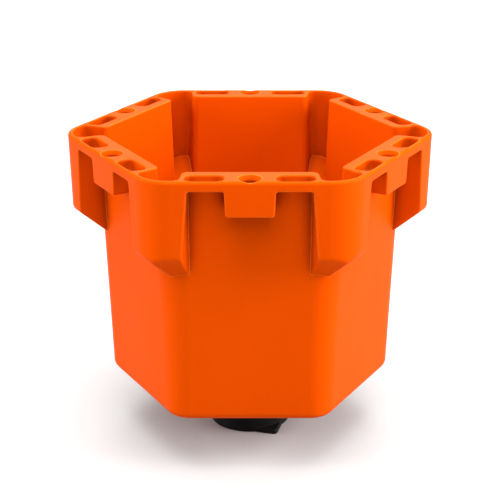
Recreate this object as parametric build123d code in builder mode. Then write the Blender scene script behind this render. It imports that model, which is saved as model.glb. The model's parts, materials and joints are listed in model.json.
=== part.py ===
from build123d import *
from math import cos, hypot, radians, sin, tan
import os

# Tool bucket organizer: a six-sided moulded bucket that swivels on a magnetic foot.
# Origin: middle of the foot's magnet face.  +Z is up, a flat side of the bucket faces -Y.

# ---- Driving sizes, in mm ----
ACROSS_FLATS = 200.0        # rim, flat side to flat side
BUCKET_HEIGHT = 159.0       # rim top down to the underside of the floor
FOOT_HEIGHT = 36.0          # underside of the floor down to the magnet face
WALL = 3.0                  # moulded wall thickness
FLOOR = 3.5                 # thickness of the bucket floor
DECK_WIDTH = 15.7           # how far the rim stands out from the body
DECK_DEPTH = 6.1            # thickness of the flat decks along the rim
RIM_CORNER = 22.7           # rounding of the rim's upright corners
BODY_CORNER = 22.0          # rounding of the body's upright corners
RIM_DRAFT = 1.3             # lean of the rim and corner pockets, degrees
BODY_DRAFT = 2.0            # lean of the body, degrees
POCKET_DEPTH = 47.3         # rim top down to where the corner pockets slope in
POCKET_SLOPE = 48.6         # lean of the pocket bottoms from upright, degrees
SLOT_END = 8.1              # outer end of a slot to the start of the rim's corner
SLOT_OUTSIDE = 2.3          # deck left between a slot and the rim's face
SLOT_INSIDE = 3.4           # deck left between a slot and the body
BOSS_DEPTH = 21.2           # rim top down to the underside of the screw bosses
BOSS_WIDTH = 29.0
BOSS_TAPER = 0.7            # each side of a boss leans in by this much
RECESS_CORNER = 1.6
SCREW_HOLE = 6.8            # hole for a 1/4 in flat-head screw
SCREW_HEAD = 13.8           # width of its countersink
SCREW_ANGLE = 82.0          # countersink angle, degrees
BOLT = 8.0                  # pivot bolt, thread diameter
FOOT_DIAMETER = 52.0        # rubber boot around the magnet
TAB_ANGLE = -60.0           # pull tab of the boot, degrees from +X: under a corner
TAB_REACH = 4.0             # middle of the tab's rounded tip, outside the boot's edge
TAB_TIP = 3.0               # radius of the tip
TAB_HEIGHT = 3.0
RECESS_END = 9.6            # end of a recess to the start of the rim's corner, under the deck
RECESS_END_LOW = 3.9        # the same at the rim's face, at the bottom of the pockets
SLOPE_OVERLAP = 9.0         # how far the pocket bottoms run on inside the body
SLIDE = 0.1                 # radial clearance of the turning fit on the bolt
LOOSE = 0.2                 # radial clearance of the washers on the bolt
BUSHING_WALL = 2.5
WASHER = 1.6                # thickness of the steel washers
THRUST = 2.0                # thickness of the thrust washer
SPRING_SHEET = 0.8          # thickness of the disc spring
CUP_WALL = 3.0              # steel of the magnet cup
MAGNET_GAP = 0.6            # around the magnet in its cup
HEAD_GAP = 0.5              # around the bolt head in the rubber

# ---- Sizes worked out from the driving ones ----
SIDES = 6
FIRST_SIDE = 30             # degrees from +X to the middle of a flat side
HALF_SIDE = tan(radians(180 / SIDES))
RIM_TOP = FOOT_HEIGHT + BUCKET_HEIGHT
RIM = ACROSS_FLATS / 2      # axis to the rim's flat sides
BODY = RIM - DECK_WIDTH     # axis to the body's flat sides, at the height of the rim top
RIM_STRAIGHT = (RIM - RIM_CORNER) * HALF_SIDE     # middle of a side to the start of its corner
RIM_LEAN = tan(radians(RIM_DRAFT))
BODY_LEAN = tan(radians(BODY_DRAFT))
SLOPE_RUN = tan(radians(POCKET_SLOPE))
SLOPE_DEPTH = (DECK_WIDTH + SLOPE_OVERLAP) / SLOPE_RUN     # drop of the pocket bottoms
POCKET_END = POCKET_DEPTH + SLOPE_DEPTH
RECESS_TOP = RIM_STRAIGHT - RECESS_END            # half width of a recess just under its deck
RECESS_BOTTOM = RIM_STRAIGHT - RECESS_END_LOW     # half width where it is widest
DECK_INNER = RECESS_TOP + WALL       # half width of the room's notch at the body wall
HALF_BOSS = BOSS_WIDTH / 2
BOLT_R = BOLT / 2
RIM_BLEND = 2.0
INNER_BLEND = (WALL - RIM_BLEND) * 0.8            # what the wall leaves inside the rim's outer rounding
LIP_BLEND = 1.0                      # rounding around the mouths of the recesses
DECK_FLARE = 1.8                     # a deck is this much wider at the rim than at the body, each side
ROOM_FLARE = 0.7                     # a pocket's side walls thin by this much at their bottom
DECK_CORNER = 4.0                    # rounding of the decks' inner corners
ROOM_BLEND_TOP = 4.5                 # rounding where the decks meet the rim, at the top
ROOM_BLEND_LOW = 1.5                 # the same at the bottom of the pockets
RIDGE_BLEND = 4.0                    # rounding between the slopes under the pockets
KNEE_BLEND = 5.0
FLOOR_BLEND = 5.5                    # rounding where the body meets its floor
SLOT_WIDTH = DECK_WIDTH - SLOT_OUTSIDE - SLOT_INSIDE
SLOT_CORNER = SLOT_WIDTH * 0.4
SLOT_LENGTH = RIM_STRAIGHT - SLOT_END - HALF_BOSS
SLOT_REACH = RIM - SLOT_OUTSIDE - SLOT_WIDTH / 2  # axis to the middle of a slot
SLOT_OFFSET = HALF_BOSS + SLOT_LENGTH / 2         # slots start at the boss edge
SLOT_BLEND = 0.9                     # rounding around the mouths of the slots
SCREW_REACH = RIM - SCREW_HEAD / 2 + SLIDE        # axis to the screw holes
BUSHING_R = BOLT_R + BUSHING_WALL    # floor bushing, outside
GAP = 0.3                            # between the bucket and what stays with the foot
FOOT_R = FOOT_DIAMETER / 2
SKIN = 1.0                           # rubber over the magnet face
CUP_R = FOOT_R - 2.0                 # steel cup inside the boot
CUP_TOP = SKIN + 10.0
BOLT_HEAD_R = BOLT
CORE_R = BOLT_HEAD_R + 2.0           # steel in the middle of the cup, around the bolt
BOLT_HEAD_SIDE = SKIN + 0.3          # top of the head's upright edge
BOLT_HEAD_TOP = BOLT_HEAD_SIDE + BOLT_R           # above it the head is a cone at 45 degrees
LIP_TOP = CUP_TOP + 1.5              # rubber lip over the cup
LIP_R = CUP_R - 4.0                  # opening in the lip
WASHER_TOP = FOOT_HEIGHT - GAP       # thrust washer, just under the bucket floor
COLUMN_TOP = WASHER_TOP - THRUST
COLUMN_WAIST = BOLT_R + 11.0
COLUMN_HEAD = COLUMN_WAIST + 6.0     # radius of the flared top
NUT_FLATS = BOLT * 1.625             # across the flats of both nuts
NUT_BEVEL = 21.8                     # lean of the turned corners, degrees
JAM_NUT = BOLT / 2                   # height of the thin nut
NUT_POCKET = JAM_NUT + 0.5           # depth of the hexagonal pocket that holds it
FLANGE_TOP = FOOT_HEIGHT + FLOOR + 1.5            # bushing flange on the floor
PLATE_BOTTOM = FLANGE_TOP + GAP
PLATE_TOP = PLATE_BOTTOM + WASHER
PLATE_R = BOLT_R + 8.0
SPRING_TOP = PLATE_TOP + WASHER
NUT_TOP = SPRING_TOP + BOLT * 0.8    # lock nut without its collar
COLLAR_TOP = NUT_TOP + 2.0
COLLAR_R = BOLT_R + 2.2
COLLAR_WALL = 0.8
RING_TOP = COLLAR_TOP - 0.4          # nylon ring under the collar's turned-in edge
BOLT_TOP = COLLAR_TOP + 2.0
COVER_TOP = BOLT_TOP + 2.5
COVER_WALL = 1.5


os.makedirs("parts", exist_ok=True)


def save(piece, name):
    """Names a piece and writes it to its own file."""
    piece.part.label = name
    export_step(piece.part, f"parts/{name}.step")


def rounded_hexagon(apothem, corner):
    """Hexagon with a flat side to the front and rounded corners."""
    with BuildSketch() as outline:
        RegularPolygon(radius=apothem, side_count=SIDES, major_radius=False)
        fillet(outline.vertices(), radius=corner)
    return outline.sketch


def leaning_hexagon(apothem, corner, lean, top, bottom):
    """Solid hexagon that narrows evenly from one height down to another."""
    with BuildPart() as block:
        with BuildSketch(Plane.XY.offset(top)):
            add(rounded_hexagon(apothem, corner))
        extrude(amount=bottom - top, taper=lean)
    return block.part


def rim_band(inset, knee):
    """Rim and corner pockets as one solid: straight down to the knee, then cut in by six slopes."""
    apothem = RIM - inset
    knee_height = RIM_TOP - knee
    with BuildPart() as slopes:
        with BuildSketch(Plane.XY.offset(knee_height)):
            RegularPolygon(radius=apothem - knee * RIM_LEAN, side_count=SIDES, major_radius=False)
        extrude(amount=-SLOPE_DEPTH, taper=POCKET_SLOPE)
        ridges = slopes.edges().filter_by(lambda e: abs(e.tangent_at(0).Z) > 0.1)
        fillet(ridges, radius=RIDGE_BLEND)
        with BuildSketch(Plane.XY.offset(knee_height)):
            Circle(ACROSS_FLATS)
        extrude(amount=knee)
    with BuildPart() as band:
        add(leaning_hexagon(apothem, RIM_CORNER - inset, RIM_DRAFT, RIM_TOP, knee_height - SLOPE_DEPTH))
        add(slopes.part, mode=Mode.INTERSECT)
    return band.part


def blended_band():
    """The outside of the rim and pockets, with the top edge and the knees rounded."""
    with BuildPart() as band:
        add(rim_band(0, POCKET_DEPTH))
        fillet(band.faces().sort_by(Axis.Z)[-1].edges(), radius=RIM_BLEND)
        knee = RIM_TOP - POCKET_DEPTH
        knees = band.edges().filter_by(lambda e: knee - 3 < e.center().Z < knee + 1)
        fillet(knees, radius=KNEE_BLEND)
    return band.part


def recess_profile(reach):
    """Upright outline of the recess under a deck, this far from the axis, around its screw boss."""
    narrow = BODY - POCKET_DEPTH * BODY_LEAN
    wide = RIM - POCKET_DEPTH * RIM_LEAN
    out = (reach - narrow) / (wide - narrow)
    half_bottom = RECESS_TOP + (RECESS_BOTTOM - RECESS_TOP) * out
    ceiling = RIM_TOP - DECK_DEPTH
    below = RIM_TOP - POCKET_END - WALL
    half_tip = HALF_BOSS - BOSS_TAPER
    with BuildSketch(Plane(origin=(0, -reach, 0), x_dir=(1, 0, 0), z_dir=(0, -1, 0))) as outline:
        with BuildLine():
            Polyline(
                (-half_bottom, below),
                (-RECESS_TOP, ceiling),
                (-HALF_BOSS, ceiling),
                (-half_tip, RIM_TOP - BOSS_DEPTH),
                (half_tip, RIM_TOP - BOSS_DEPTH),
                (HALF_BOSS, ceiling),
                (RECESS_TOP, ceiling),
                (half_bottom, below),
                close=True,
            )
        make_face()
        corners = outline.vertices().filter_by(lambda v: v.Y > below + 1)
        fillet(corners, radius=RECESS_CORNER)
    return outline.sketch


def side_distance(edge):
    """How far an edge's middle stands out from the axis, square to the side it belongs to."""
    middle = edge.center()
    turns = (radians(FIRST_SIDE + 360 / SIDES * side) for side in range(SIDES))
    return max(middle.X * cos(turn) + middle.Y * sin(turn) for turn in turns)


def room_outline(depth):
    """Plan of the hollow inside the rim at this depth: a hexagon notched by the six decks."""
    inset = WALL + depth * RIM_LEAN
    down = depth / POCKET_END
    deck_edge = BODY - WALL - depth * BODY_LEAN
    inner = DECK_INNER
    outer_top = RECESS_TOP + WALL + DECK_FLARE
    outer = outer_top + (RECESS_BOTTOM + WALL - ROOM_FLARE - outer_top) * down
    blend = ROOM_BLEND_TOP + (ROOM_BLEND_LOW - ROOM_BLEND_TOP) * down
    beyond = RIM + WALL
    with BuildSketch() as outline:
        add(rounded_hexagon(RIM - inset, RIM_CORNER - inset))
        with PolarLocations(0, SIDES, start_angle=FIRST_SIDE):
            Polygon(
                (deck_edge, -inner),
                (RIM - inset, -outer),
                (beyond, -outer),
                (beyond, outer),
                (RIM - inset, outer),
                (deck_edge, inner),
                align=None,
                mode=Mode.SUBTRACT,
            )
        notch = outline.vertices().filter_by(lambda v: hypot(v.X, v.Y) < hypot(deck_edge, inner) + 1)
        fillet(notch, radius=DECK_CORNER)
        reach = hypot(RIM - inset, outer)
        blends = outline.vertices().filter_by(lambda v: abs(hypot(v.X, v.Y) - reach) < 0.1)
        fillet(blends, radius=blend)
    return outline.sketch


# ---- Bucket shell ----
with BuildPart() as recess:
    for reach in (BODY - WALL * 2, RIM + WALL * 2):
        add(recess_profile(reach))
    loft(ruled=True)

with BuildPart() as pocket_room:
    for depth in (0, POCKET_END):
        with BuildSketch(Plane.XY.offset(RIM_TOP - depth)):
            add(room_outline(depth))
    loft(ruled=True)
    add(rim_band(WALL, POCKET_DEPTH - WALL / 2), mode=Mode.INTERSECT)

with BuildPart() as room:
    add(pocket_room.part)
    add(leaning_hexagon(BODY - WALL, BODY_CORNER - WALL, BODY_DRAFT, RIM_TOP, FOOT_HEIGHT + FLOOR))
    fillet(room.faces().sort_by(Axis.Z)[0].edges(), radius=FLOOR_BLEND - WALL / 2)

with BuildPart() as bucket_shell:
    add(blended_band())
    with PolarLocations(0, SIDES):
        add(recess.part, mode=Mode.SUBTRACT)
    cuts = bucket_shell.edges(Select.LAST)
    on_the_face = cuts.filter_by(lambda e: side_distance(e) > RIM - 5)
    slope_bottom = RIM_TOP - POCKET_END + 1
    slope_top = RIM_TOP - POCKET_DEPTH - 3
    on_the_slope = cuts.filter_by(lambda e: slope_bottom < e.center().Z < slope_top)
    on_the_slope = on_the_slope.filter_by(lambda e: side_distance(e) > BODY - 4)
    fillet(list(set(on_the_face + on_the_slope)), radius=LIP_BLEND)
    add(leaning_hexagon(BODY, BODY_CORNER, BODY_DRAFT, RIM_TOP, FOOT_HEIGHT))
    fillet(bucket_shell.faces().sort_by(Axis.Z)[0].edges(), radius=FLOOR_BLEND)
    add(room.part, mode=Mode.SUBTRACT)
    fillet(bucket_shell.edges(Select.LAST).group_by(Axis.Z)[-1], radius=INNER_BLEND)
    with BuildSketch(Plane.XY.offset(RIM_TOP)):
        with PolarLocations(0, SIDES, start_angle=FIRST_SIDE):
            with Locations((SLOT_REACH, SLOT_OFFSET), (SLOT_REACH, -SLOT_OFFSET)):
                RectangleRounded(SLOT_WIDTH, SLOT_LENGTH, SLOT_CORNER)
    extrude(amount=-DECK_DEPTH - RECESS_CORNER, mode=Mode.SUBTRACT)
    slot_tops = bucket_shell.edges(Select.LAST).group_by(Axis.Z)[-1]
    fillet(slot_tops, radius=SLOT_BLEND)
    with Locations(Plane.XY.offset(RIM_TOP)):
        with PolarLocations(SCREW_REACH, SIDES, start_angle=FIRST_SIDE):
            CounterSinkHole(SCREW_HOLE / 2, SCREW_HEAD / 2, depth=BOSS_DEPTH + WALL,
                            counter_sink_angle=SCREW_ANGLE)
    with Locations((0, 0, FOOT_HEIGHT)):
        Cylinder(BUSHING_R, FLOOR * 3, mode=Mode.SUBTRACT)
save(bucket_shell, "bucket_shell")

# ---- Pivot between the bucket and the foot ----
with BuildPart() as floor_bushing:
    with BuildSketch(Plane.XZ):
        with BuildLine():
            Polyline(
                (BOLT_R + SLIDE, FOOT_HEIGHT),
                (BUSHING_R, FOOT_HEIGHT),
                (BUSHING_R, FOOT_HEIGHT + FLOOR),
                (PLATE_R - 1, FOOT_HEIGHT + FLOOR),
                (PLATE_R - 1, FLANGE_TOP),
                (BOLT_R + SLIDE, FLANGE_TOP),
                close=True,
            )
        make_face()
    revolve(axis=Axis.Z)
    chamfer(floor_bushing.edges().group_by(Axis.Z)[-1], length=0.3)
save(floor_bushing, "floor_bushing")

with BuildPart() as pivot_bolt:
    with BuildSketch(Plane.XZ):
        with BuildLine():
            Polyline(
                (0, BOLT_HEAD_SIDE),
                (BOLT_HEAD_R, BOLT_HEAD_SIDE),
                (BOLT_R, BOLT_HEAD_TOP),
                (BOLT_R, BOLT_TOP),
                (0, BOLT_TOP),
                close=True,
            )
        make_face()
    revolve(axis=Axis.Z)
    chamfer(pivot_bolt.edges().group_by(Axis.Z)[-1], length=BOLT / 10)
    with BuildSketch(Plane.XY.offset(BOLT_HEAD_SIDE)):
        RegularPolygon(radius=BOLT * 0.31, side_count=6, major_radius=False)
    extrude(amount=BOLT * 0.35, mode=Mode.SUBTRACT)
save(pivot_bolt, "pivot_bolt")


def flat_ring(inner, outer, bottom, top, edge):
    """Washer between two heights, with its outer edges broken."""
    with BuildPart() as ring:
        with BuildSketch(Plane.XY.offset(bottom)):
            Circle(outer)
            Circle(inner, mode=Mode.SUBTRACT)
        extrude(amount=top - bottom)
        chamfer(ring.edges().filter_by(GeomType.CIRCLE).group_by(SortBy.RADIUS)[-1], length=edge)
    return ring


thrust_washer = flat_ring(BOLT_R + LOOSE, COLUMN_HEAD - 1, COLUMN_TOP, WASHER_TOP, 0.4)
save(thrust_washer, "thrust_washer")

bearing_washer = flat_ring(BOLT_R + LOOSE, PLATE_R, PLATE_BOTTOM, PLATE_TOP, 0.3)
save(bearing_washer, "bearing_washer")

with BuildPart() as spring_washer:
    with BuildSketch(Plane.XZ):
        with BuildLine():
            Polyline(
                (BOLT_R + LOOSE, SPRING_TOP - SPRING_SHEET),
                (BOLT_R + 5, PLATE_TOP),
                (BOLT_R + 5, PLATE_TOP + SPRING_SHEET),
                (BOLT_R + LOOSE, SPRING_TOP),
                close=True,
            )
        make_face()
    revolve(axis=Axis.Z)
save(spring_washer, "spring_washer")


def hex_nut(bottom, top):
    """Plain hexagon nut with its corners turned off at the top."""
    with BuildPart() as nut:
        with BuildSketch(Plane.XY.offset(bottom)):
            RegularPolygon(radius=NUT_FLATS / 2, side_count=6, major_radius=False)
            Circle(BOLT_R, mode=Mode.SUBTRACT)
        extrude(amount=top - bottom)
        with BuildSketch(Plane.XY.offset(bottom)):
            Circle(NUT_FLATS * 0.56 + (top - bottom) * tan(radians(NUT_BEVEL)))
        extrude(amount=top - bottom, taper=NUT_BEVEL, mode=Mode.INTERSECT)
    return nut


jam_nut = hex_nut(COLUMN_TOP - NUT_POCKET, COLUMN_TOP - NUT_POCKET + JAM_NUT)
save(jam_nut, "jam_nut")

with BuildPart() as lock_nut:
    add(hex_nut(SPRING_TOP, NUT_TOP).part)
    with BuildSketch(Plane.XZ):
        with BuildLine():
            Polyline(
                (COLLAR_R - COLLAR_WALL, NUT_TOP),
                (COLLAR_R, NUT_TOP),
                (COLLAR_R, COLLAR_TOP - 0.5),
                (COLLAR_R - 0.5, COLLAR_TOP),
                (BOLT_R + COLLAR_WALL, COLLAR_TOP),
                (BOLT_R + COLLAR_WALL, RING_TOP),
                (COLLAR_R - COLLAR_WALL, RING_TOP),
                close=True,
            )
        make_face()
    revolve(axis=Axis.Z)
save(lock_nut, "lock_nut")

with BuildPart() as lock_ring:
    with BuildSketch(Plane.XY.offset(NUT_TOP)):
        Circle(COLLAR_R - COLLAR_WALL)
        Circle(BOLT_R, mode=Mode.SUBTRACT)
    extrude(amount=RING_TOP - NUT_TOP)
save(lock_ring, "lock_ring")

# Cap that snaps over the bearing washer and hides the nut
with BuildPart() as nut_cover:
    with BuildSketch(Plane.XZ):
        with BuildLine():
            Polyline(
                (PLATE_R, PLATE_BOTTOM),
                (PLATE_R + COVER_WALL, PLATE_BOTTOM),
                (PLATE_R + 1.0, BOLT_TOP),
                (PLATE_R - 3.0, COVER_TOP),
                (0, COVER_TOP),
                (0, COVER_TOP - COVER_WALL),
                (PLATE_R - 3.5, COVER_TOP - COVER_WALL),
                (PLATE_R - 0.5, BOLT_TOP - 1.0),
                (PLATE_R - 0.5, PLATE_TOP),
                (PLATE_R, PLATE_TOP),
                close=True,
            )
        make_face()
    revolve(axis=Axis.Z)
    fillet(nut_cover.edges().group_by(Axis.Z)[-1], radius=1.0)
save(nut_cover, "nut_cover")

# ---- Magnetic foot ----
with BuildPart() as foot_column:
    with BuildSketch(Plane.XZ):
        with BuildLine():
            Polyline(
                (BOLT_R, CUP_TOP),
                (LIP_R, CUP_TOP),
                (LIP_R, LIP_TOP),
                (FOOT_R - 2, LIP_TOP),
                (FOOT_R - 2, LIP_TOP + 2.5),
                (COLUMN_WAIST, LIP_TOP + 8),
                (COLUMN_WAIST, COLUMN_TOP - 6),
                (COLUMN_HEAD, COLUMN_TOP - 2),
                (COLUMN_HEAD, COLUMN_TOP),
                (BOLT_R, COLUMN_TOP),
                close=True,
            )
        make_face()
    revolve(axis=Axis.Z)
    with BuildSketch(Plane.XY.offset(COLUMN_TOP)):
        RegularPolygon(radius=NUT_FLATS / 2 + SLIDE, side_count=6, major_radius=False)
    extrude(amount=-NUT_POCKET, mode=Mode.SUBTRACT)
save(foot_column, "foot_column")

with BuildPart() as magnet_cup:
    with BuildSketch(Plane.XY.offset(SKIN)):
        Circle(CUP_R)
    extrude(amount=CUP_TOP - SKIN)
    with BuildSketch(Plane.XY.offset(SKIN)):
        Circle(CUP_R - CUP_WALL)
        Circle(CORE_R, mode=Mode.SUBTRACT)
    extrude(amount=CUP_TOP - SKIN - CUP_WALL, mode=Mode.SUBTRACT)
    with BuildSketch(Plane.XZ):
        with BuildLine():
            Polyline(
                (0, SKIN),
                (BOLT_HEAD_R, SKIN),
                (BOLT_HEAD_R, BOLT_HEAD_SIDE),
                (BOLT_R, BOLT_HEAD_TOP),
                (BOLT_R, CUP_TOP),
                (0, CUP_TOP),
                close=True,
            )
        make_face()
    revolve(axis=Axis.Z, mode=Mode.SUBTRACT)
save(magnet_cup, "magnet_cup")

with BuildPart() as ring_magnet:
    with BuildSketch(Plane.XY.offset(SKIN)):
        Circle(CUP_R - CUP_WALL - MAGNET_GAP)
        Circle(CORE_R + MAGNET_GAP, mode=Mode.SUBTRACT)
    extrude(amount=CUP_TOP - SKIN - CUP_WALL)
save(ring_magnet, "ring_magnet")

with BuildPart() as rubber_boot:
    with BuildSketch(Plane.XY):
        Circle(CUP_R)
        with PolarLocations(FOOT_R + TAB_REACH, 1, start_angle=TAB_ANGLE):
            Circle(TAB_TIP)
        make_hull()
    extrude(amount=TAB_HEIGHT)
    fillet(rubber_boot.edges().group_by(Axis.Z)[-1], radius=TAB_HEIGHT / 4)
    with BuildSketch(Plane.XY):
        Circle(FOOT_R)
    extrude(amount=LIP_TOP)
    fillet(rubber_boot.edges().group_by(Axis.Z)[-1], radius=1.0)
    with BuildSketch(Plane.XZ):
        with BuildLine():
            Polyline(
                (0, 0),
                (BOLT_HEAD_R + HEAD_GAP, 0),
                (BOLT_HEAD_R + HEAD_GAP, SKIN),
                (CUP_R, SKIN),
                (CUP_R, CUP_TOP),
                (LIP_R, CUP_TOP),
                (LIP_R, LIP_TOP),
                (0, LIP_TOP),
                close=True,
            )
        make_face()
    revolve(axis=Axis.Z, mode=Mode.SUBTRACT)
save(rubber_boot, "rubber_boot")
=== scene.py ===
import bpy
import json
from math import cos, radians, sin
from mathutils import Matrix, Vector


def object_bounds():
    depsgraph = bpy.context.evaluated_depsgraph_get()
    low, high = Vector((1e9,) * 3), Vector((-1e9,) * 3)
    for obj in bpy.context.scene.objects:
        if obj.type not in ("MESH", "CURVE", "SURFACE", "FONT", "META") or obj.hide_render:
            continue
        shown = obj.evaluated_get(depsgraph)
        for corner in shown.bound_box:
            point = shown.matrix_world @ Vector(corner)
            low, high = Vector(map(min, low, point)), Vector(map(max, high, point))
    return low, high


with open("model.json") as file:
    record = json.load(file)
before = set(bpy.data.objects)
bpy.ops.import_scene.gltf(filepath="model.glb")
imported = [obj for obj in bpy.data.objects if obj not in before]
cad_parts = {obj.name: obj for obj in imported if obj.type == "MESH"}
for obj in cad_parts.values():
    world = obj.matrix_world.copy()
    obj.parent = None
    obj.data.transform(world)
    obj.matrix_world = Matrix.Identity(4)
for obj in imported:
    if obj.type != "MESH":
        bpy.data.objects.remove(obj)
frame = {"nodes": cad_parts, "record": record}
nodes = frame["nodes"]
cad_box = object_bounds()
RIM_TOP = cad_box[1][2]
mounts = {mount["name"]: mount for mount in frame["record"]["mounts"]}
SCREW_CIRCLE = mounts["rim_screws"]["dims"]["pcd_mm"] / 1000
SCREW_ANGLE = radians(30)     # from the object's side to the nearest screw hole

# Lengths on the surface, in metres
PAINTED_SHADE_REACH = 0.010         # painted shade: how far from a corner or hollow the colour is still darkened
HOLE_SHADE_FULL = 0.0042            # painted shade: dark all through within this distance of a screw hole's axis
HOLE_SHADE_END = 0.0052           # and clear again beyond this one
# painted highlight: width of the paler band along the orange edges
ORANGE_EDGE = 0.0009
BLACK_EDGE = 0.0008
FINE_GRAIN = 0.00002
COARSE_GRAIN = 0.00004
MOULD_WAVE = 0.0004

# How strongly each mark covers the plain colour
# painted shade in corners and hollows
PAINTED_SHADE_SHARE = 0.85
# painted shade over the screw holes
HOLE_SHADE_SHARE = 0.85
# painted highlight along the orange edges
ORANGE_HIGHLIGHT_SHARE = 0.55
BLACK_EDGE_SHARE = 0.22

ORANGE = (0.52, 0.050, 0.0002)
ORANGE_CLOUD = (0.49, 0.046, 0.0002)
# painted shade colours: corners and hollows, then the inside of the screw holes
ORANGE_PAINTED_SHADE = (0.16, 0.008, 0.0001)
ORANGE_HOLE_SHADE = (0.10, 0.005, 0.0001)
# painted highlight colour for the orange edges
ORANGE_HIGHLIGHT = (0.98, 0.24, 0.04)
ORANGE_GLOSS = (1.0, 0.60, 0.05, 1)
BLACK_WORN = (0.12, 0.115, 0.11)
DUST = (0.16, 0.15, 0.14)
WHITE = (1, 1, 1, 1)

# The Mix node has sockets of one name for each kind of data, so its colour ones go by number
MIX_FIRST = 6
MIX_SECOND = 7
MIX_RESULT = 2


# ---- Node helpers for the materials ----
class Finish:
    """One procedural material, built up node by node."""

    def __init__(self, name):
        self.material = bpy.data.materials.new(name)
        self.material.use_nodes = True
        self.tree = self.material.node_tree
        self.shader = self.tree.nodes["Principled BSDF"]
        self.place = self.tree.nodes.new("ShaderNodeTexCoord").outputs["Object"]

    def link(self, out, into):
        self.tree.links.new(out, into)

    def stretched(self, scale):
        """The object's own coordinates, scaled differently along each axis."""
        node = self.tree.nodes.new("ShaderNodeMapping")
        node.inputs["Scale"].default_value = scale
        self.link(self.place, node.inputs["Vector"])
        return node.outputs["Vector"]

    def noise(self, scale, detail=3.0, rough=0.55, where=None):
        node = self.tree.nodes.new("ShaderNodeTexNoise")
        node.inputs["Scale"].default_value = scale
        node.inputs["Detail"].default_value = detail
        node.inputs["Roughness"].default_value = rough
        self.link(where or self.place, node.inputs["Vector"])
        return node.outputs["Fac"]

    def spread(self, value, low, high, start=0.3, end=0.7):
        """Maps start..end of a value onto low..high."""
        node = self.tree.nodes.new("ShaderNodeMapRange")
        node.inputs["From Min"].default_value = start
        node.inputs["From Max"].default_value = end
        node.inputs["To Min"].default_value = low
        node.inputs["To Max"].default_value = high
        self.link(value, node.inputs["Value"])
        return node.outputs["Result"]

    def combine(self, kind, first, second):
        """Sum, product or the like of two numbers or number sockets."""
        node = self.tree.nodes.new("ShaderNodeMath")
        node.operation = kind
        for socket, value in zip(node.inputs, (first, second)):
            if isinstance(value, (int, float)):
                socket.default_value = value
            else:
                self.link(value, socket)
        return node.outputs["Value"]

    def mix(self, factor, first, second):
        """Colour between two colours or colour sockets."""
        node = self.tree.nodes.new("ShaderNodeMix")
        node.data_type = "RGBA"
        self.link(factor, node.inputs["Factor"])
        for number, value in ((MIX_FIRST, first), (MIX_SECOND, second)):
            if isinstance(value, tuple):
                node.inputs[number].default_value = (*value, 1)
            else:
                self.link(value, node.inputs[number])
        return node.outputs[MIX_RESULT]

    def cover(self, mask, share, under, colour):
        """Lays a colour over another one where the mask is, as strongly as its share."""
        return self.mix(self.combine("MULTIPLY", mask, share), under, colour)

    def vector(self, kind, first, second=None, out="Vector"):
        """Vector sum with a second vector that is a plain value, or with none."""
        node = self.tree.nodes.new("ShaderNodeVectorMath")
        node.operation = kind
        self.link(first, node.inputs[0])
        if second is not None:
            node.inputs[1].default_value = second
        return node.outputs[out]

    def edges(self, reach):
        """1 along outer and inner edges, 0 on flat faces."""
        node = self.tree.nodes.new("ShaderNodeBevel")
        node.samples = 4
        node.inputs["Radius"].default_value = reach
        geometry = self.tree.nodes.new("ShaderNodeNewGeometry")
        agreement = self.tree.nodes.new("ShaderNodeVectorMath")
        agreement.operation = "DOT_PRODUCT"
        self.link(node.outputs["Normal"], agreement.inputs[0])
        self.link(geometry.outputs["Normal"], agreement.inputs[1])
        return self.spread(agreement.outputs["Value"], 1, 0, start=0.9, end=0.995)

    def painted_hollow_shade(self, reach):
        """Painted shade mask: 1 deep in corners, holes and hollows, 0 in the open."""
        node = self.tree.nodes.new("ShaderNodeAmbientOcclusion")
        node.samples = 8
        node.inputs["Distance"].default_value = reach
        return self.spread(node.outputs["AO"], 1, 0, start=0.45, end=0.92)

    def screw_hole_shade_mask(self, inside, outside):
        """Painted shade mask over the screw holes: 1 within a radius of their axes, 0 beyond a second
        one.
        """
        one_quarter = self.vector("ABSOLUTE", self.place)
        flat = self.vector("MULTIPLY", one_quarter, (1, 1, 0))
        # Mirrored into one quarter, the six holes fall on two places
        reach = SCREW_CIRCLE / 2
        front_hole = (0, reach, 0)
        side_hole = (reach * cos(SCREW_ANGLE), reach * sin(SCREW_ANGLE), 0)
        to_front = self.vector("DISTANCE", flat, front_hole, "Value")
        to_side = self.vector("DISTANCE", flat, side_hole, "Value")
        nearest = self.combine("MINIMUM", to_front, to_side)
        return self.spread(nearest, 1, 0, start=inside, end=outside)

    def bump(self, height, depth, under=None):
        """Surface tilted by a height, over another tilt if there is one."""
        node = self.tree.nodes.new("ShaderNodeBump")
        node.inputs["Distance"].default_value = depth
        self.link(height, node.inputs["Height"])
        if under is not None:
            self.link(under, node.inputs["Normal"])
        return node.outputs["Normal"]


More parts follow.
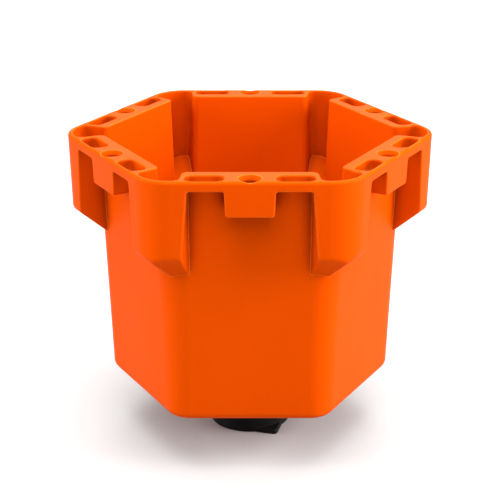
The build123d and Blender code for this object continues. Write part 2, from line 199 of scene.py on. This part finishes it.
def orange_plastic():
    """Satin moulded plastic: a fine grain, faint flow clouds, painted shade in hollows and over the screw
    holes, and painted highlights along the edges.
    """
    finish = Finish("orange_plastic")
    clouds = finish.spread(finish.noise(scale=9, detail=4), 0, 1)
    colour = finish.mix(clouds, ORANGE, ORANGE_CLOUD)
    # painted shade: darker colour in corners, holes and hollows, wherever ambient occlusion finds them
    colour = finish.cover(finish.painted_hollow_shade(PAINTED_SHADE_REACH), PAINTED_SHADE_SHARE, colour, ORANGE_PAINTED_SHADE)
    # painted shade: a dark spot over each screw hole, where the hole's inside lies in shade
    colour = finish.cover(finish.screw_hole_shade_mask(HOLE_SHADE_FULL, HOLE_SHADE_END), HOLE_SHADE_SHARE, colour, ORANGE_HOLE_SHADE)
    # painted highlight: paler colour along the orange edges
    colour = finish.cover(finish.edges(ORANGE_EDGE), ORANGE_HIGHLIGHT_SHARE, colour, ORANGE_HIGHLIGHT)
    finish.link(colour, finish.shader.inputs["Base Color"])
    smears = finish.noise(scale=28, detail=5, rough=0.6, where=finish.stretched((1, 1, 0.35)))
    finish.link(finish.spread(smears, 0.36, 0.47), finish.shader.inputs["Roughness"])
    grain = finish.bump(finish.noise(scale=2600, detail=2), FINE_GRAIN)
    waves = finish.bump(finish.noise(scale=14, detail=1), MOULD_WAVE, under=grain)
    finish.link(waves, finish.shader.inputs["Normal"])
    finish.shader.inputs["IOR"].default_value = 1.07
    finish.shader.inputs["Specular Tint"].default_value = ORANGE_GLOSS
    return finish.material


def dark_moulding(name, tone, rough_low, rough_high, grain_scale, dust):
    """Black plastic or rubber with a grain and a little pale dust."""
    finish = Finish(name)
    black = (tone, tone, tone * 1.05)
    dusty = finish.spread(finish.noise(scale=45, detail=5, rough=0.65), 0, dust, start=0.45, end=0.75)
    colour = finish.mix(dusty, black, DUST)
    colour = finish.cover(finish.edges(BLACK_EDGE), BLACK_EDGE_SHARE, colour, BLACK_WORN)
    finish.link(colour, finish.shader.inputs["Base Color"])
    dull = finish.spread(finish.noise(scale=60, detail=4), rough_low, rough_high)
    finish.link(dull, finish.shader.inputs["Roughness"])
    grain = finish.bump(finish.noise(scale=grain_scale, detail=3), COARSE_GRAIN)
    finish.link(grain, finish.shader.inputs["Normal"])
    finish.shader.inputs["IOR"].default_value = 1.20
    return finish.material


def metal(name, colour, worn, rough_low, rough_high):
    """Machined steel with fine turning marks and dull patches."""
    finish = Finish(name)
    patches = finish.spread(finish.noise(scale=130, detail=5, rough=0.6), 0, 1)
    finish.link(finish.mix(patches, colour, worn), finish.shader.inputs["Base Color"])
    finish.shader.inputs["Metallic"].default_value = 1.0
    turned = finish.stretched((0.15, 0.15, 1))
    marks = finish.noise(scale=900, detail=2, rough=0.5, where=turned)
    finish.link(finish.spread(marks, rough_low, rough_high), finish.shader.inputs["Roughness"])
    finish.link(finish.bump(marks, FINE_GRAIN), finish.shader.inputs["Normal"])
    return finish.material


def pale_plastic(name, plain, stained):
    """Natural bearing plastic with faint turning marks and grease staining."""
    finish = Finish(name)
    stains = finish.spread(finish.noise(scale=90, detail=5, rough=0.6), 0, 1, start=0.35, end=0.7)
    finish.link(finish.mix(stains, plain, stained), finish.shader.inputs["Base Color"])
    dull = finish.spread(finish.noise(scale=120, detail=3), 0.35, 0.55)
    finish.link(dull, finish.shader.inputs["Roughness"])
    turned = finish.stretched((0.2, 0.2, 1))
    marks = finish.noise(scale=1200, detail=2, rough=0.5, where=turned)
    finish.link(finish.bump(marks, FINE_GRAIN), finish.shader.inputs["Normal"])
    finish.shader.inputs["Subsurface Weight"].default_value = 0.08
    finish.shader.inputs["Subsurface Radius"].default_value = (0.001, 0.001, 0.001)
    return finish.material


finishes = {
    "orange_plastic": orange_plastic(),
    "black_plastic": dark_moulding(
        "black_plastic", tone=0.006, rough_low=0.42, rough_high=0.58, grain_scale=1800, dust=0.04),
    "black_rubber": dark_moulding(
        "black_rubber", tone=0.003, rough_low=0.55, rough_high=0.75, grain_scale=900, dust=0.03),
    "plated_steel": metal("plated_steel", (0.62, 0.62, 0.60), (0.50, 0.50, 0.47), 0.22, 0.38),
    "bolt_steel": metal("bolt_steel", (0.30, 0.30, 0.31), (0.20, 0.20, 0.20), 0.28, 0.45),
    "magnet": metal("magnet", (0.48, 0.48, 0.50), (0.38, 0.38, 0.39), 0.18, 0.32),
    "bearing_plastic": pale_plastic("bearing_plastic", (0.74, 0.73, 0.68), (0.60, 0.58, 0.50)),
    "lock_nylon": pale_plastic("lock_nylon", (0.04, 0.14, 0.42), (0.03, 0.10, 0.30)),
}
slot_of_node = {entry["node"]: entry["material_slot"] for entry in frame["record"]["subparts"]}
for name, node in nodes.items():
    node.data.materials.clear()
    node.data.materials.append(finishes[slot_of_node[name]])


# ---- Camera ----
def look(distance, height, down, lens):
    """Camera in front of the object, on its middle plane, turned down by an angle in degrees."""
    data = bpy.data.cameras.new("camera")
    data.lens = lens
    data.sensor_width = 36
    camera = bpy.data.objects.new("camera", data)
    camera.location = (0, -distance, height)
    camera.rotation_euler = (radians(90 - down), 0, 0)
    bpy.context.collection.objects.link(camera)
    bpy.context.scene.camera = camera


look(distance=0.8278, height=RIM_TOP + 0.24245, down=21.2, lens=100.6)


# ---- Floor and light ----
MIDDLE = (0, 0, 0.12)         # the point that every lamp faces
ROOM_LIGHT = 0.20             # light on the object from all around it
FLOOR_GREY = 0.38             # dark enough to throw little light back up
FLOOR_REACH = 6.0
GLOW_START = 0.4              # beyond this distance from the foot the floor starts to glow
GLOW_FULL = 1.6


def soft_light(name, place, aim, size, power):
    """Square studio lamp at a place, turned towards a point."""
    data = bpy.data.lights.new(name, "AREA")
    data.size = size
    data.energy = power
    lamp = bpy.data.objects.new(name, data)
    lamp.location = place
    bpy.context.collection.objects.link(lamp)
    mark = bpy.data.objects.new(name + "_aim", None)
    mark.location = aim
    bpy.context.collection.objects.link(mark)
    track = lamp.constraints.new("TRACK_TO")
    track.target = mark
    track.track_axis = "TRACK_NEGATIVE_Z"
    track.up_axis = "UP_Y"


def floor():
    """Plain floor that the foot stands on, which the lamps make look white."""
    mesh = bpy.data.meshes.new("floor")
    far = FLOOR_REACH
    corners = [(-far, -far, 0), (far, -far, 0), (far, far, 0), (-far, far, 0)]
    mesh.from_pydata(corners, [], [(0, 1, 2, 3)])
    plane = bpy.data.objects.new("floor", mesh)
    bpy.context.collection.objects.link(plane)
    white = bpy.data.materials.new("floor_white")
    white.use_nodes = True
    shader = white.node_tree.nodes["Principled BSDF"]
    shader.inputs["Base Color"].default_value = (FLOOR_GREY, FLOOR_GREY, FLOOR_GREY, 1)
    shader.inputs["Roughness"].default_value = 1.0
    shader.inputs["Specular IOR Level"].default_value = 0.0
    glow_far_away(white.node_tree, shader)
    mesh.materials.append(white)


def seen_directly(tree):
    """1 where the picture shows a thing directly, 0 for light that bounces off it."""
    return tree.nodes.new("ShaderNodeLightPath").outputs["Is Camera Ray"]


def glow_far_away(tree, shader):
    """Keeps the floor white beyond the reach of the lamps, without lighting the object."""
    place = tree.nodes.new("ShaderNodeTexCoord")
    distance = tree.nodes.new("ShaderNodeVectorMath")
    distance.operation = "LENGTH"
    tree.links.new(place.outputs["Object"], distance.inputs[0])
    fade = tree.nodes.new("ShaderNodeMapRange")
    fade.inputs["From Min"].default_value = GLOW_START
    fade.inputs["From Max"].default_value = GLOW_FULL
    tree.links.new(distance.outputs["Value"], fade.inputs["Value"])
    strength = tree.nodes.new("ShaderNodeMath")
    strength.operation = "MULTIPLY"
    tree.links.new(fade.outputs["Result"], strength.inputs[0])
    tree.links.new(seen_directly(tree), strength.inputs[1])
    shader.inputs["Emission Color"].default_value = WHITE
    tree.links.new(strength.outputs["Value"], shader.inputs["Emission Strength"])


def white_surroundings():
    """Room that looks white in the picture and lights the object only a little."""
    world = bpy.data.worlds.new("studio")
    bpy.context.scene.world = world
    world.use_nodes = True
    tree = world.node_tree
    background = tree.nodes["Background"]
    background.inputs["Color"].default_value = WHITE
    brightness = tree.nodes.new("ShaderNodeMapRange")
    brightness.inputs["To Min"].default_value = ROOM_LIGHT
    tree.links.new(seen_directly(tree), brightness.inputs["Value"])
    tree.links.new(brightness.outputs["Result"], background.inputs["Strength"])


white_surroundings()
bpy.context.scene.view_settings.view_transform = "Standard"
soft_light("left", (-1.3, -0.10, 0.60), MIDDLE, size=0.8, power=26)
soft_light("right", (1.3, -0.20, 0.60), MIDDLE, size=0.8, power=46)
soft_light("above", (0, 0.3, 2.2), MIDDLE, size=2.0, power=90)
soft_light("front", (0, -1.0, 1.5), MIDDLE, size=1.4, power=34)
soft_light("back", (0, 1.5, 1.2), MIDDLE, size=1.2, power=18)
floor()
